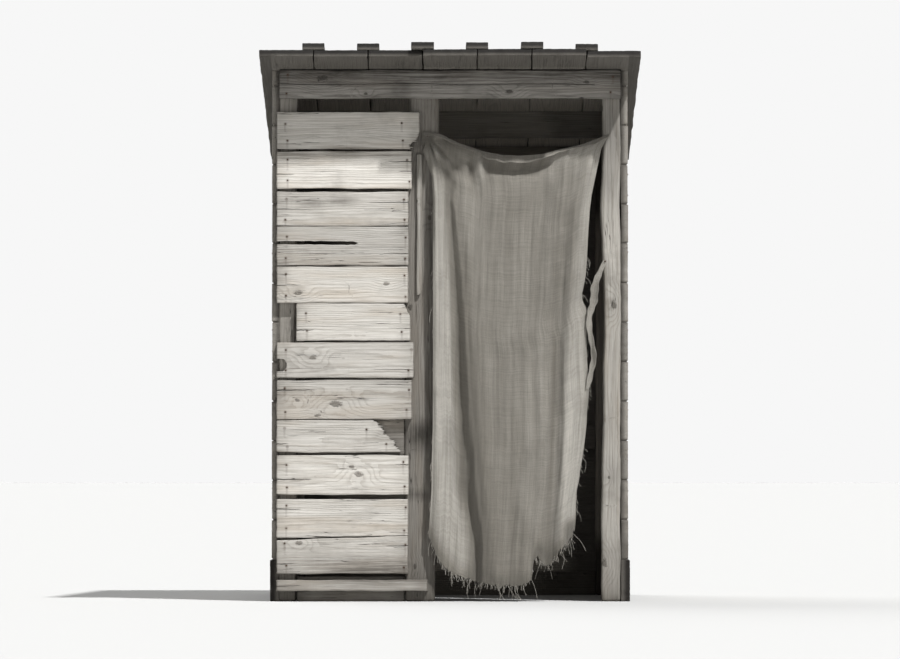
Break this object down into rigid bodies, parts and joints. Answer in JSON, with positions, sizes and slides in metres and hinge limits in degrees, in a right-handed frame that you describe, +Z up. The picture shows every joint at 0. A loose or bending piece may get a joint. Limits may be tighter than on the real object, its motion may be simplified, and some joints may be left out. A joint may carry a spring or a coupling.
{
  "type": "wooden outhouse",
  "caption": "Small outhouse of rough boards on a post frame, with a lean-to batten roof and a cloth hung in its doorway.",
  "frame": {"origin": "on the ground, under the middle of the roof", "axes": "+Z up, along the height; +Y from the doorway to the rear; +X to the right as seen from the doorway side"},
  "size_m": [1.37, 1.5596, 2.0159],
  "materials": {
    "frame_timber": "rough-sawn, weathered",
    "wall_board": "rough-sawn, bleached silver grey",
    "dark_board": "rough-sawn, weathered dark",
    "base_plank": "rough-sawn, damp and dark",
    "roof_board": "rough-sawn, weathered dark grey",
    "sackcloth": "coarse plain weave, worn"
  },
  "bodies": {
    "root": {"corner_post_front_left": "frame_timber", "corner_post_front_right": "frame_timber", "corner_post_rear_left": "frame_timber", "corner_post_rear_right": "frame_timber", "door_post": "frame_timber", "front_plate": "frame_timber", "rear_plate": "frame_timber", "left_roof_rail": "frame_timber", "right_roof_rail": "frame_timber", "roof_purlin": "frame_timber", "left_girt": "frame_timber", "right_girt": "frame_timber", "rear_girt": "frame_timber", "front_girt": "frame_timber", "left_sill": "frame_timber", "right_sill": "frame_timber", "rear_sill": "frame_timber", "front_sill": "frame_timber", "left_base_plank": "base_plank", "right_base_plank": "base_plank", "rear_base_plank": "base_plank", "left_wall_boards": "wall_board", "right_wall_boards": "wall_board", "rear_wall_boards": "wall_board", "header_board": "dark_board", "front_bottom_strip": "wall_board", "front_board_01": "wall_board", "front_board_02": "wall_board", "front_board_03": "wall_board", "front_board_04": "wall_board", "front_board_05": "wall_board", "front_board_06": "wall_board", "front_board_07": "wall_board", "front_board_08": "wall_board", "front_board_09": "wall_board", "front_board_10": "wall_board", "front_board_11": "wall_board", "front_board_12": "wall_board", "roof_boards": "roof_board", "roof_battens": "roof_board", "curtain": "sackcloth"}
  },
  "joints": []
}
